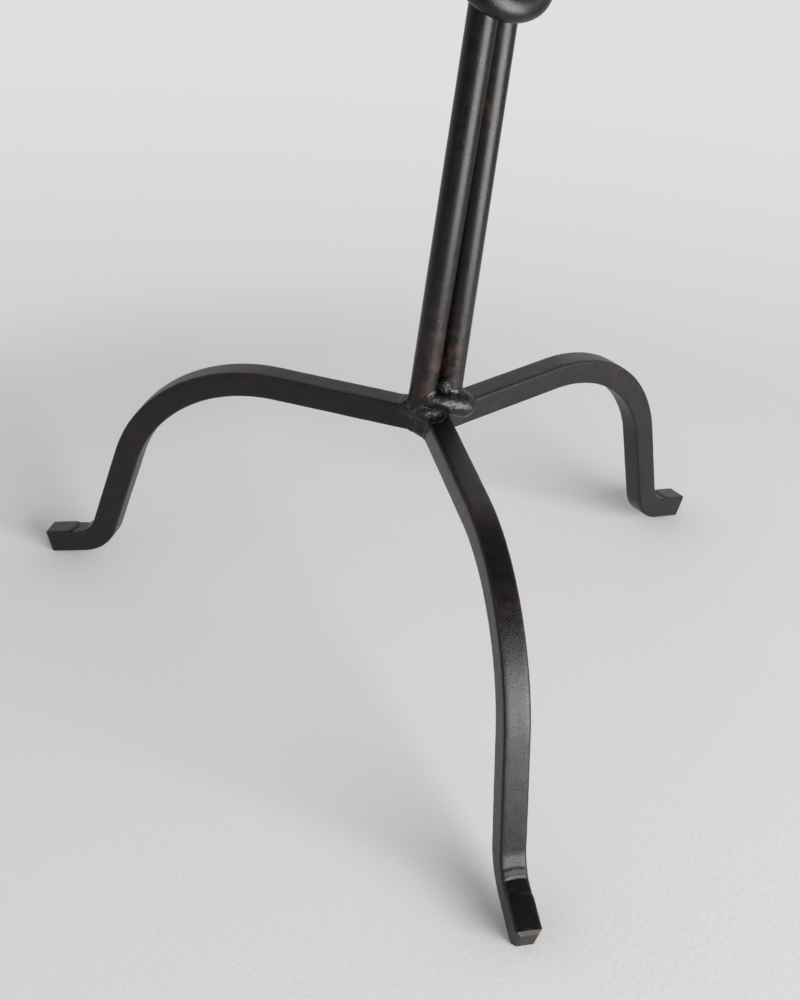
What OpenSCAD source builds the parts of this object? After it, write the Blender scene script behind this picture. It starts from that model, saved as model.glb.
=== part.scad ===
// Candle stand: three bent bar legs welded to a pair of round rods, a ring of round bar
// bent round the pair as its knop, a second pair of rods, and a drip pan with a candle cup.
// The origin is on the floor, straight under the point where the three legs meet.

/* [Bar and rod stock] */
// Width of the leg bar, across the leg
bar_w = 9.6; // [6:0.1:12]
// Depth of the leg bar, in the plane of its bends
bar_t = 10.4; // [7:0.1:13]
// Radius of the bar's softened edges
bar_edge_r = 0.9; // [0.3:0.1:2]
// Diameter of the four stem rods
rod_d = 10.3; // [7:0.1:13]

/* [Leg directions] */
// Direction of the front leg, seen from above
leg_front_dir = -90; // [-100:1:-80]
// Direction of the left leg, seen from above
leg_left_dir = 150.5; // [140:0.5:160]
// Direction of the right leg, seen from above
leg_right_dir = 26; // [20:1:40]

/* [Leg bends] */
// Length of the level arm, from the hub's centre to the shoulder
arm_len = 61.5; // [40:0.5:90]
// Radius of the shoulder bend, on the bar's centre line
shoulder_r = 65; // [35:1:90]
// Lean of the shank away from upright
shank_tilt = 16.5; // [5:0.5:30]
// Length of the straight shank
shank_len = 39.2; // [20:0.1:80]
// Radius of the heel bend, on the bar's centre line
heel_r = 16.5; // [9:0.5:25]
// Slope of the foot below level
foot_slope = 17; // [10:1:40]
// Length of the straight foot
foot_len = 17; // [12:0.5:40]

/* [Toes] */
// Height ground off the underside of the toe, so that it stands flat
toe_ground = 1; // [0.4:0.1:2]
// Size of the clipped corners of the toe, seen from above
toe_clip = 1.5; // [1:0.1:3]
// Size of the chamfer along the toe's top edge
toe_bevel = 1.4; // [0.8:0.1:3]

/* [Lower stem] */
// Height of the knop's centre above the tops of the arms
lower_stem_h = 160.4; // [100:1:260]
// Gap between the two rods of a pair, where they are welded
rod_gap = 0.3; // [0.2:0.05:1]
// Direction of the line through the pair's centres, at the hub
pair_dir_hub = 11; // [-20:1:40]
// Turn of the lower pair from the hub to the knop
pair_turn_lower = 26; // [0:1:40]
// Lean of the lower stem at the knop, along X
lean_x = 6.5; // [-8:0.1:8]
// Lean of the lower stem at the knop, along Y
lean_y = -1.9; // [-8:0.1:8]

/* [Knop] */
// Diameter of the round bar that the knop's ring is bent from
knop_bar_d = 10.3; // [8:0.1:12]
// Radius of the ring, on the bar's centre line
knop_ring_r = 14.6; // [14:0.1:18]
// Tilt of the ring away from level
knop_tilt = 41.5; // [20:0.5:45]
// Direction in which the ring slopes down
knop_slope_dir = -62; // [-90:1:-40]
// Gap that the ring leaves round the upper rods
knop_ease = 0.3; // [0.2:0.05:0.6]

/* [Upper stem] */
// Height of the head boss above the knop's centre
upper_stem_h = 350; // [200:1:500]
// Turn of the upper pair from the knop to the boss
pair_turn_upper = 26; // [0:1:40]

/* [Head boss] */
// Diameter of the boss that caps the rods
boss_d = 27; // [26:0.5:40]
// Thickness of the boss
boss_h = 9; // [6:0.5:16]
// Diameter of the boss where it carries the pan
boss_seat_d = 22; // [16:0.5:25]
// Diameter of the stud that joins boss, pan and cup
stud_d = 6; // [4:0.5:8]
// Length of the stud's grip in the boss, and again in the cup
stud_grip = 5; // [3:0.5:5.5]
// Radial clearance round the stud
stud_clear = 0.05; // [0.02:0.01:0.3]

/* [Drip pan] */
// Radius of the pan's flat floor
pan_floor_r = 42; // [26:1:60]
// Radius of the curve from floor to wall, inside
pan_curve_r = 10; // [6:0.5:20]
// Angle that the wall has turned through at the rim
pan_turn = 56; // [40:1:80]
// Sheet thickness of the pan
pan_t = 2.4; // [1:0.1:3]
// Diameter of the rolled rim
pan_rim_d = 4.4; // [3.2:0.1:7]

/* [Candle cup] */
// Radius of the bore that holds the candle
cup_bore_r = 11.25; // [9:0.05:16]
// Depth of the bore
cup_bore_depth = 27; // [18:0.5:45]
// Wall thickness of the cup
cup_wall = 2.2; // [1.5:0.1:4]
// Thickness of the cup's base under the bore
cup_base_h = 7; // [6:0.5:12]
// Diameter of the rolled lip
cup_lip_d = 3.6; // [2.4:0.1:5]
// Radius of the flared foot, outside the wall
cup_foot_flare = 3; // [1:0.1:4]

/* [Welds] */
// Size of the fillet round the foot of each lower rod
foot_weld = 3.6; // [2:0.1:5]
// Radius of the large smooth bead at the right of the hub
bead_right_r = 5.2; // [4:0.1:7]
// Distance of that bead from the hub's centre
bead_right_out = 10.8; // [8:0.1:14]
// Direction of that bead, seen from above
bead_right_dir = -15; // [-32:1:0]
// Height of that bead's centre above the arms
bead_right_up = 1.8; // [0:0.1:4]
// Radius of the run of weld that leads from that bead round the front of the rods
bead_run_r = 3.2; // [2:0.1:4]
// Radius of the rough bead at the left of the hub
bead_left_r = 4.6; // [3:0.1:6]
// Radius of the bead at the back of the hub
bead_back_r = 4.8; // [3:0.1:6]
// Radius of the root bead under the hub
bead_under_r = 5.4; // [4:0.1:8]
// Radius of the nugget of spatter between the rods
nugget_r = 1.9; // [1:0.1:3]
// Height of the nugget's centre above the arms
nugget_up = 11; // [8:0.1:20]
// Radius of the bead where a rod runs into the knop
seam_r = 1.5; // [1:0.1:2.2]
// Distance of those beads from the ring's own plane
seam_drop = 3.6; // [2:0.1:5]
// Size of the fillets under the head boss
boss_weld_h = 2.4; // [1.5:0.1:3]

/* [Hidden] */
$fn = 48;

paint = [0.075, 0.065, 0.06];
paint_worn = [0.12, 0.075, 0.055];
weld_paint = [0.11, 0.105, 0.105];

// The leg's centre line, in its own plane: X runs outwards and Y runs up.
shank_dir = shank_tilt - 90;
shoulder_end = [arm_len + shoulder_r * cos(shank_tilt), shoulder_r * (sin(shank_tilt) - 1)];
shank_end = shoulder_end + shank_len * [cos(shank_dir), sin(shank_dir)];
heel_centre = shank_end + heel_r * [cos(shank_tilt), sin(shank_tilt)];
heel_turn = 90 - shank_tilt - foot_slope;
heel_end = heel_centre - heel_r * [sin(foot_slope), cos(foot_slope)];
toe_end = heel_end + foot_len * [cos(foot_slope), -sin(foot_slope)];
// Height of the arms' centre line that brings the ground toe onto the floor.
hub_z = bar_t / 2 * cos(foot_slope) - toe_end.y - toe_ground;
hub_top = hub_z + bar_t / 2;
hub_under = hub_z - bar_t / 2;
reach = toe_end.x + bar_t;

rod_r = rod_d / 2;
pair_half = (rod_d + rod_gap) / 2;
knop_z = hub_top + lower_stem_h;
knop_c = [lean_x, lean_y, knop_z];
knop_reach = 2 * (knop_ring_r + knop_bar_d);
boss_z = knop_z + upper_stem_h;
pair_dir_knop = pair_dir_hub + pair_turn_lower;
pair_dir_top = pair_dir_knop + pair_turn_upper;
pan_z = boss_z + boss_h;
cup_z = pan_z + pan_t;
pan_wall_end = [pan_floor_r + (pan_curve_r + pan_t / 2) * sin(pan_turn),
    pan_t + pan_curve_r - (pan_curve_r + pan_t / 2) * cos(pan_turn)];
cup_r = cup_bore_r + cup_wall;
cup_h = cup_base_h + cup_bore_depth;
// Middles of the three notches between neighbouring legs.
notch_right = (leg_front_dir + leg_right_dir) / 2;
notch_back = (leg_right_dir + leg_left_dir) / 2;
notch_left = (leg_left_dir + leg_front_dir + 360) / 2;
// Distance from the hub's centre to the inner corner of a notch.
notch_r = bar_w / 2 / sin((leg_right_dir - leg_front_dir) / 2);
// Running clearance of a cut that follows another piece.
eps = 0.01;
// Turn of each rod about its own axis, which keeps its seam clear of the cuts' corners.
rod_turn = 90;
// How far round a rod the welds run: at its foot, at the knop and at the boss.
foot_arc_left = 210;
foot_start_right = 4;
foot_arc_right = 110;
seam_arc = 130;
boss_weld_arc = 200;
stud_hole_d = stud_d + 2 * stud_clear;
// Lap of a straight run into the bend beside it, and how much thinner the run is.
lap = 0.2;
run_slack = 0.02;

function along(dir, r) = [r * cos(dir), r * sin(dir)];

// Section of the bar: X is its depth, Y its width, with rounded edges.
module bar_section(slack = 0) {
    depth = bar_t - slack;
    width = bar_w - slack;
    square([depth - 2 * bar_edge_r, width], center = true);
    square([depth, width - 2 * bar_edge_r], center = true);
    for (sx = [-1, 1], sy = [-1, 1])
        translate([sx * (depth / 2 - bar_edge_r), sy * (width / 2 - bar_edge_r)])
            circle(bar_edge_r);
}

// A straight run of bar in the leg's plane. It is a hair thinner than the bends and laps
// into them at its ends, so that their surfaces cross cleanly.
module bar_run(from, dir, len) {
    translate([from.x, from.y, 0])
        rotate([0, 0, dir])
            rotate([90, 0, 90])
                translate([0, 0, -lap])
                    linear_extrude(len + 2 * lap) bar_section(run_slack);
}

// A bend of the bar in the leg's plane.
module bar_bend(centre, radius, first, sweep) {
    translate([centre.x, centre.y, 0])
        rotate([0, 0, first])
            rotate_extrude(angle = sweep)
                translate([radius, 0]) bar_section();
}

// The foot, with its top edge bevelled and its two front corners clipped.
module foot() {
    difference() {
        bar_run(heel_end, -foot_slope, foot_len);
        translate([toe_end.x, toe_end.y, 0])
            rotate([0, 0, -foot_slope]) {
                translate([0, bar_t / 2, 0])
                    rotate([0, 0, 45])
                        cube([bar_t, toe_bevel * sqrt(2), bar_w + 2], center = true);
                for (side = [-1, 1])
                    translate([0, 0, side * bar_w / 2])
                        rotate([0, 45, 0])
                            cube([toe_clip * sqrt(2), bar_t + 2, toe_clip * sqrt(2)], center = true);
            }
    }
}

// One leg: level arm mitred at the hub, shoulder, shank, heel and foot.
// The two side directions are those of the notches that its mitre runs to.
module leg(dir, notch_a, notch_b) {
    difference() {
        translate([0, 0, hub_z])
            rotate([90, 0, dir]) {
                bar_run([0, 0], 0, arm_len);
                bar_bend([arm_len, -shoulder_r], shoulder_r, shank_tilt, 90 - shank_tilt);
                bar_run(shoulder_end, shank_dir, shank_len);
                bar_bend(heel_centre, heel_r, 180 + shank_tilt, heel_turn);
                foot();
            }
        // Mitre faces, in the two planes through the hub's axis.
        rotate([0, 0, notch_a])
            translate([-bar_w * 2, -bar_w * 4, hub_z - bar_t])
                cube([bar_w * 6, bar_w * 4, bar_t * 2]);
        rotate([0, 0, notch_b])
            translate([-bar_w * 2, 0, hub_z - bar_t])
                cube([bar_w * 6, bar_w * 4, bar_t * 2]);
        // Flat ground under the toe.
        rotate([0, 0, dir])
            translate([reach - 3 * bar_t - foot_len, -bar_w, -bar_t])
                cube([4 * bar_t + foot_len, 2 * bar_w, bar_t]);
    }
}

module leg_front() { color(paint) leg(leg_front_dir, notch_left - 360, notch_right); }
module leg_left() { color(paint) leg(leg_left_dir, notch_back, notch_left); }
module leg_right() { color(paint) leg(leg_right_dir, notch_right, notch_back); }

// A straight round rod from one point to another, run on past both by extra.
module rod_between(a, b, d, extra) {
    v = b - a;
    translate(a)
        rotate([0, acos(v.z / norm(v)), atan2(v.y, v.x)])
            rotate([0, 0, rod_turn])
                translate([0, 0, -extra])
                    cylinder(d = d, h = norm(v) + 2 * extra);
}

// Centre of one rod of a pair; side is -1 for the left rod and 1 for the right.
function pair_point(c, dir, side) = [c.x + side * pair_half * cos(dir),
    c.y + side * pair_half * sin(dir), c.z];

module lower_rod_line(side, d = rod_d) {
    rod_between(pair_point([0, 0, hub_top], pair_dir_hub, side),
        pair_point(knop_c, pair_dir_knop, side), d, rod_d);
}

module upper_rod_line(side, d = rod_d) {
    rod_between(pair_point(knop_c, pair_dir_knop, side),
        pair_point([knop_c.x, knop_c.y, boss_z], pair_dir_top, side), d, rod_d);
}

// Block used to cut everything below or above a height.
module half_space(z, up) {
    size = 4 * boss_d;
    translate([-size / 2, -size / 2, up ? z : z - size]) cube(size);
}

// Places a form in the knop's own frame, where the ring lies level and X points down its slope.
module at_knop() {
    translate(knop_c) rotate([0, 0, knop_slope_dir]) rotate([0, knop_tilt, 0]) children();
}

// Everything above the ring's plane, or below it.
module knop_side(up) {
    at_knop()
        translate([-knop_reach, -knop_reach, up ? 0 : -2 * knop_reach])
            cube(2 * knop_reach);
}

// The lower rods end in the ring's plane and the upper ones start there, so the ring hides the joint.
module rod_lower(side, d = rod_d) {
    difference() {
        lower_rod_line(side, d);
        half_space(hub_top, false);
        knop_side(true);
    }
}

module rod_upper(side, d = rod_d) {
    difference() {
        upper_rod_line(side, d);
        half_space(boss_z, true);
        knop_side(false);
    }
}

module rod_lower_left() { color(paint_worn) rod_lower(-1); }
module rod_lower_right() { color(paint_worn) rod_lower(1); }
module rod_upper_left() { color(paint) rod_upper(-1); }
module rod_upper_right() { color(paint) rod_upper(1); }

// Fillet of weld round a lower rod's foot, from one direction on through a sweep.
module rod_foot_weld(side, first, sweep) {
    difference() {
        translate(pair_point([0, 0, hub_top], pair_dir_hub, side))
            rotate([0, 0, first])
                rotate_extrude(angle = sweep)
                    intersection() {
                        translate([rod_r, 0]) circle(foot_weld);
                        translate([rod_r - 1, 0]) square(foot_weld + 1);
                    }
        lower_rod_line(side, rod_d + eps);
    }
}

module rod_foot_weld_left() {
    color(weld_paint)
        rod_foot_weld(-1, pair_dir_hub + 180 - foot_arc_left / 2, foot_arc_left);
}

// The right rod's fillet goes round the back only: the large bead lies in front of it.
module rod_foot_weld_right() {
    color(weld_paint) rod_foot_weld(1, pair_dir_hub + foot_start_right, foot_arc_right);
}

// The level arm of a leg as a plain square bar, for cutting a bead back to it.
module arm_bar(dir) {
    rotate([0, 0, dir])
        translate([0, -bar_w / 2, hub_under])
            cube([arm_len, bar_w, bar_t]);
}

// A bead in the notch between two legs, cut back to both and to the nearest rod's fillet.
module hub_bead(dir, leg_a, leg_b, side, r, rise) {
    difference() {
        translate(concat(along(dir, notch_r + r * 0.25), hub_z + rise)) sphere(r);
        arm_bar(leg_a);
        arm_bar(leg_b);
        translate(pair_point([0, 0, hub_top], pair_dir_hub, side))
            cylinder(r = rod_r + foot_weld, h = 3 * r);
    }
}

// The large bead over the right notch, and the run that leads from it along the front of
// the rods. It is cut back to both rods and to the arms.
module hub_bead_right() {
    bead = concat(along(bead_right_dir, bead_right_out), hub_top + bead_right_up);
    run_end = concat(along(pair_dir_hub - 90, rod_r + bead_run_r / 2), hub_top + foot_weld + 1);
    color(weld_paint)
        difference() {
            difference() {
                union() {
                    translate(bead) sphere(bead_right_r);
                    translate(run_end) sphere(bead_run_r);
                    rod_between(run_end, bead, 2 * (bead_run_r - lap), 0);
                }
                for (side = [-1, 1]) lower_rod_line(side, rod_d + eps);
            }
            arm_bar(leg_front_dir);
            arm_bar(leg_right_dir);
        }
}

module hub_bead_left() {
    color(weld_paint) hub_bead(notch_left, leg_front_dir, leg_left_dir, -1, bead_left_r, 1);
}

module hub_bead_back() {
    color(weld_paint) hub_bead(notch_back, leg_right_dir, leg_left_dir, 1, bead_back_r, -1);
}

// Root bead where the three mitres meet, under the hub.
module hub_bead_under() {
    color(weld_paint)
        difference() {
            translate([0, 0, hub_under + bead_under_r * 0.45]) sphere(bead_under_r);
            half_space(hub_under, true);
        }
}

// Nugget of spatter in the groove between the lower rods, in front. It bites a little
// into the line of both rods and is cut back to them.
module spatter_nugget() {
    reach_in = rod_r + 0.8 * nugget_r;
    c = along(pair_dir_hub - 90, sqrt(reach_in ^ 2 - pair_half ^ 2));
    color(weld_paint)
        difference() {
            translate([c.x, c.y, hub_top + nugget_up]) sphere(nugget_r);
            for (side = [-1, 1]) lower_rod_line(side, rod_d + eps);
        }
}

module knop_ring() {
    at_knop() rotate_extrude($fn = 96) translate([knop_ring_r, 0]) circle(d = knop_bar_d);
}

// The ring is bent hot round the pair and beds into place on it.
module knop() {
    color(paint_worn)
        difference() {
            knop_ring();
            for (side = [-1, 1]) {
                rod_lower(side, rod_d + eps);
                rod_upper(side, rod_d + 2 * knop_ease);
            }
        }
}

// Bead along the line where each rod runs into the ring, on the rod's outer side.
// up is -1 under the ring and 1 on top of it.
module knop_weld(up) {
    difference() {
        for (turn = [0, 180])
            at_knop()
                rotate([0, 0, pair_dir_knop - knop_slope_dir + turn])
                    translate([pair_half, 0, up * seam_drop])
                        rotate([0, 0, -seam_arc / 2])
                            rotate_extrude(angle = seam_arc)
                                translate([rod_r, 0]) circle(seam_r);
        knop_ring();
        for (side = [-1, 1])
            if (up < 0) rod_lower(side, rod_d + eps);
            else rod_upper(side, rod_d + eps);
    }
}

module knop_weld_lower() { color(weld_paint) knop_weld(-1); }
module knop_weld_upper() { color(weld_paint) knop_weld(1); }

// Places the head's pieces on the axis through the knop.
module on_head(z) { translate([knop_c.x, knop_c.y, z]) children(); }

module head_boss() {
    color(paint)
        on_head(boss_z)
            difference() {
                union() {
                    cylinder(d = boss_d, h = boss_h / 2);
                    translate([0, 0, boss_h / 2])
                        cylinder(d1 = boss_d, d2 = boss_seat_d, h = boss_h / 2);
                }
                translate([0, 0, boss_h - stud_grip - stud_clear])
                    cylinder(d = stud_hole_d, h = stud_grip + 1);
            }
}

// Fillet of weld under the boss, round the outer side of an upper rod's top.
module boss_fillet(side) {
    c = pair_point([knop_c.x, knop_c.y, boss_z], pair_dir_top, side);
    out = side > 0 ? pair_dir_top : pair_dir_top + 180;
    translate(c)
        rotate([0, 0, out - boss_weld_arc / 2])
            rotate_extrude(angle = boss_weld_arc)
                intersection() {
                    translate([rod_r, 0]) circle(boss_weld_h);
                    translate([rod_r - 1, -boss_weld_h]) square([boss_weld_h + 1, boss_weld_h]);
                }
}

module boss_weld() {
    color(weld_paint)
        difference() {
            for (side = [-1, 1]) boss_fillet(side);
            for (side = [-1, 1]) upper_rod_line(side, rod_d + eps);
        }
}

module head_stud() {
    color("gray")
        on_head(pan_z - stud_grip)
            cylinder(d = stud_d, h = 2 * stud_grip + pan_t);
}

// Sheet pan: flat floor, curved wall and rolled rim.
module drip_pan() {
    color(paint)
        on_head(pan_z)
            rotate_extrude($fn = 96)
                difference() {
                    union() {
                        square([pan_floor_r, pan_t]);
                        translate([pan_floor_r, pan_t + pan_curve_r])
                            intersection() {
                                difference() {
                                    circle(pan_curve_r + pan_t, $fn = 96);
                                    circle(pan_curve_r, $fn = 96);
                                }
                                far = 2 * (pan_curve_r + pan_t);
                                polygon([[0, 0], [0, -far],
                                    [far * sin(pan_turn), -far], far * [sin(pan_turn), -cos(pan_turn)]]);
                            }
                        translate(pan_wall_end) circle(d = pan_rim_d);
                    }
                    translate([0, -pan_t]) square([stud_hole_d / 2, 3 * pan_t]);
                }
}

// Turned cup: flared foot, straight wall and rolled lip, with a blind bore.
module candle_cup() {
    color(paint)
        on_head(cup_z)
            difference() {
                rotate_extrude($fn = 96) {
                    square([cup_r, cup_h]);
                    difference() {
                        square([cup_r + cup_foot_flare, cup_foot_flare]);
                        translate([cup_r + cup_foot_flare, cup_foot_flare]) circle(cup_foot_flare);
                    }
                    translate([cup_r, cup_h - cup_lip_d / 2]) circle(d = cup_lip_d);
                }
                translate([0, 0, cup_base_h]) cylinder(r = cup_bore_r, h = cup_bore_depth + 1);
                translate([0, 0, -1]) cylinder(d = stud_hole_d, h = 1 + stud_grip + stud_clear);
            }
}

leg_front();
leg_left();
leg_right();
rod_lower_left();
rod_lower_right();
rod_foot_weld_left();
rod_foot_weld_right();
hub_bead_right();
hub_bead_left();
hub_bead_back();
hub_bead_under();
spatter_nugget();
knop();
knop_weld_lower();
knop_weld_upper();
rod_upper_left();
rod_upper_right();
head_boss();
boss_weld();
head_stud();
drip_pan();
candle_cup();
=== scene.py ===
"""Looks for the candle stand: three bent legs, twin round rods, a ring knop, a drip pan and a candle cup.

Everything is in metres, in the packed model's frame. Sizes inside the node trees are in millimetres
where the tree says so, and are brought back to metres at its end.
"""

import math

import bmesh
import bpy
from bpy.props import FloatProperty, FloatVectorProperty, PointerProperty
from mathutils import Matrix, Vector


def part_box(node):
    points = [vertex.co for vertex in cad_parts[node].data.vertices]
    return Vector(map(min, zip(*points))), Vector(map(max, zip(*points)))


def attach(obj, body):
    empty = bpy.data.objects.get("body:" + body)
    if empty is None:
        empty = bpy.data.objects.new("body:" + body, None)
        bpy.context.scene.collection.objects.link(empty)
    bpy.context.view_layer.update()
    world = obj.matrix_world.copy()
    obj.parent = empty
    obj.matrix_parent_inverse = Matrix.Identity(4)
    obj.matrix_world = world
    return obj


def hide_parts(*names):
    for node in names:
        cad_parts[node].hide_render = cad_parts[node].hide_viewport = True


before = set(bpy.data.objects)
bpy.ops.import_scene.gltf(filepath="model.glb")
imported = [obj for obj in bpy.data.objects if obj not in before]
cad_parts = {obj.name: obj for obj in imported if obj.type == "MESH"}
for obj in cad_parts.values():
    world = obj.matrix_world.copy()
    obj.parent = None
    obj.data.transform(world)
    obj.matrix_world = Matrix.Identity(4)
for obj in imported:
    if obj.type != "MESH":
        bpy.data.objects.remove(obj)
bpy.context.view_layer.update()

bl_info = {
    "name": "Candle stand",
    "version": (1, 0, 0),
    "blender": (4, 5, 0),
    "location": "3D View > Sidebar > Candle stand",
    "description": "Builds a forged candle stand with its painted finishes, and a plain studio round it",
    "category": "Add Mesh",
}

MM = 0.001
HUB_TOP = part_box("rod_lower_left")[0].z / MM
BOSS_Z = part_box("head_boss")[0].z / MM
PAN_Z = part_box("drip_pan")[0].z / MM
CUP_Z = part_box("candle_cup")[0].z / MM
CUP_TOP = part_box("candle_cup")[1].z / MM
HEAD_AXIS = (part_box("head_boss")[0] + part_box("head_boss")[1]) / 2 / MM

# Lengths in millimetres that belong to the way a piece is made.
EDGE_BAND = 2.2  # how far in from a bar's edge its nicks, chipped paint and painted edge shade reach
HEEL_PINCH = 0.65  # how deep the heel's inner face is drawn in
HEEL_PINCH_REACH = 7.0
TOE_RUB_REACH = 162.8  # the rubbed spot on each toe: its distance from the axis
TOE_RUB_HEIGHT = 8.2
ROD_OVERRUN = 12  # how far a rod is made past its ends, before it is cut
LUMP_BLEND = 4.5  # how softly the lumps of a weld run together
STUD_HOLE = 3.05  # radius of the hole for the stud

# Folds in the heel: place along the bend as a share of it, half width, bow, and depth as a share.
HEEL_FOLDS = ((0.45, 1.8, 1.2, 0.4), (0.80, 1.4, 1.0, 1.0), (1.12, 1.6, 0.9, 1.0))

# The window light and the camera, in metres, and the picture's measures in pixels.
WINDOW_SIZE = (1.85, 2.4)
WINDOW_DISTANCE = 2.2
WINDOW_AIM = (0, 0, 0.2)
CAMERA_SPOT = (-0.1405, -0.4509, 0.3909)
CAMERA_AHEAD = (0.2297, 0.7907, -0.5675)
CAMERA_ROLL = math.radians(5.243)
PICTURE_HEIGHT = 1000
FOCAL_PIXELS = 1474.84
SENSOR = 36.0


# ---------------------------------------------------------------- node trees


class Wire:
    """A node's output that can be used in expressions. Each operator adds one Math node."""

    def __init__(self, maker, socket):
        self.maker = maker
        self.socket = socket

    def math(self, operation, *others):
        values = dict(enumerate((self,) + others))
        return self.maker.add("ShaderNodeMath", {"operation": operation}, values)

    def __add__(self, other):
        return self.math("ADD", other)

    def __sub__(self, other):
        return self.math("SUBTRACT", other)

    def __mul__(self, other):
        return self.math("MULTIPLY", other)

    def __truediv__(self, other):
        return self.math("DIVIDE", other)

    def __neg__(self):
        return self.math("MULTIPLY", -1.0)

    def __abs__(self):
        return self.math("ABSOLUTE")

    def __rsub__(self, other):
        return self.maker.add("ShaderNodeMath", {"operation": "SUBTRACT"}, {0: other, 1: self})

    def __rtruediv__(self, other):
        return self.maker.add("ShaderNodeMath", {"operation": "DIVIDE"}, {0: other, 1: self})

    __radd__ = __add__
    __rmul__ = __mul__

    def low(self, other):
        return self.math("MINIMUM", other)

    def high(self, other):
        return self.math("MAXIMUM", other)

    def blend_low(self, other, width):
        """The lower of two distances, rounded over where they meet."""
        return self.math("SMOOTH_MIN", other, width)

    def ease(self, start, end):
        """Rises smoothly from 0 at start to 1 at end."""
        settings = {"interpolation_type": "SMOOTHSTEP"}
        values = {"Value": self, "From Min": start, "From Max": end}
        return self.maker.add("ShaderNodeMapRange", settings, values)

    def out(self, name):
        """Another output of the node that this wire leaves."""
        return Wire(self.maker, self.socket.node.outputs[name])


class Maker:
    """Adds nodes to one tree."""

    def __init__(self, tree):
        self.tree = tree

    def add(self, kind, settings=None, values=None, out=0):
        """Adds a node. Its settings are set first, then its sockets, and one output is handed back."""
        node = self.tree.nodes.new(kind)
        for name, setting in (settings or {}).items():
            if name == "stops":
                ramp = node.color_ramp
                while len(ramp.elements) < len(setting):
                    ramp.elements.new(0.5)
                for element, (place, colour) in zip(ramp.elements, setting):
                    element.position = place
                    element.color = colour
            else:
                setattr(node, name, setting)
        for name, value in (values or {}).items():
            socket = node.inputs[name]
            if isinstance(value, Wire):
                self.tree.links.new(value.socket, socket)
            else:
                socket.default_value = value
        return Wire(self, node.outputs[out]) if len(node.outputs) else node

    def vector(self, operation, a, b=None, scale=None, out="Vector"):
        """A Vector Math node."""
        values = {0: a}
        if b is not None:
            values[1] = b
        if scale is not None:
            values["Scale"] = scale
        return self.add("ShaderNodeVectorMath", {"operation": operation}, values, out)

    def xyz(self, x, y, z):
        return self.add("ShaderNodeCombineXYZ", None, {0: x, 1: y, 2: z})

    def split(self, vector):
        """The three parts of a vector."""
        x = self.add("ShaderNodeSeparateXYZ", None, {0: vector})
        return x, x.out("Y"), x.out("Z")

    def noise(self, vector, scale, detail=2.0, rough=0.5):
        values = {"Vector": vector, "Scale": scale, "Detail": detail, "Roughness": rough}
        return self.add("ShaderNodeTexNoise", None, values)

    def cells(self, vector, scale, feature="F1"):
        settings = {"feature": feature}
        return self.add("ShaderNodeTexVoronoi", settings, {"Vector": vector, "Scale": scale})

    def mix(self, factor, a, b):
        """Mixes two colours."""
        settings = {"data_type": "RGBA", "clamp_factor": True}
        return self.add("ShaderNodeMix", settings, {0: factor, 6: a, 7: b}, out=2)

    def capture(self, geometry, value, kind="FLOAT"):
        """Keeps a value on the points, so that it can still be read once the shape has changed."""
        node = self.tree.nodes.new("GeometryNodeCaptureAttribute")
        node.capture_items.new(kind, "kept")
        self.tree.links.new(geometry.socket, node.inputs["Geometry"])
        self.tree.links.new(value.socket, node.inputs["kept"])
        return Wire(self, node.outputs["Geometry"]), Wire(self, node.outputs["kept"])

    def store(self, geometry, name, value):
        """Stores a number on the points, where a material can read it."""
        settings = {"data_type": "FLOAT", "domain": "POINT"}
        values = {"Geometry": geometry, "Name": name, "Value": value}
        return self.add("GeometryNodeStoreNamedAttribute", settings, values)

    def push_in(self, geometry, depth):
        """Moves the points inwards, against their normals."""
        normal = self.add("GeometryNodeInputNormal")
        values = {"Geometry": geometry, "Offset": self.vector("SCALE", normal, scale=-depth)}
        return self.add("GeometryNodeSetPosition", None, values)

    def shrink(self, geometry):
        """Brings a shape made in millimetres back to metres."""
        return self.add("GeometryNodeTransform", None, {"Geometry": geometry, "Scale": (MM, MM, MM)})


def new_tree(name, inputs):
    """A geometry node tree with named inputs. Each input is (name, kind, default)."""
    tree = bpy.data.node_groups.new(name, "GeometryNodeTree")
    tree.interface.new_socket("Geometry", in_out="OUTPUT", socket_type="NodeSocketGeometry")
    tree.interface.new_socket("Geometry", in_out="INPUT", socket_type="NodeSocketGeometry")
    for label, kind, default in inputs:
        item = tree.interface.new_socket(label, in_out="INPUT", socket_type="NodeSocket" + kind)
        if default is not None:
            item.default_value = default
    maker = Maker(tree)
    start = tree.nodes.new("NodeGroupInput")
    wires = {socket.name: Wire(maker, socket) for socket in start.outputs if socket.name}
    return tree, maker, wires


def close_tree(tree, maker, geometry, material):
    """Every tree ends in the same way: instances made real, and the finish put on."""
    real = maker.add("GeometryNodeRealizeInstances", None, {"Geometry": geometry})
    done = maker.add("GeometryNodeSetMaterial", None, {"Geometry": real, "Material": material})
    end = tree.nodes.new("NodeGroupOutput")
    tree.links.new(done.socket, end.inputs[0])
    return tree


def grow(name, tree, values, mesh=None):
    """Runs a geometry node tree on a mesh and gives back the result as a plain mesh object."""
    host = bpy.data.objects.new(name + "_host", mesh or bpy.data.meshes.new(name + "_host"))
    bpy.context.scene.collection.objects.link(host)
    modifier = host.modifiers.new("grow", "NODES")
    modifier.node_group = tree
    sockets = {item.name: item.identifier for item in tree.interface.items_tree if item.in_out == "INPUT"}
    for label, value in values.items():
        modifier[sockets[label]] = value
    graph = bpy.context.evaluated_depsgraph_get()
    made = bpy.data.meshes.new_from_object(
        host.evaluated_get(graph), preserve_all_data_layers=True, depsgraph=graph)
    bpy.data.objects.remove(host)
    if not made.polygons:
        raise RuntimeError(f"{name}: the node tree made no surface")
    made.name = name
    piece = bpy.data.objects.new(name, made)
    bpy.context.scene.collection.objects.link(piece)
    return piece


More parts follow.
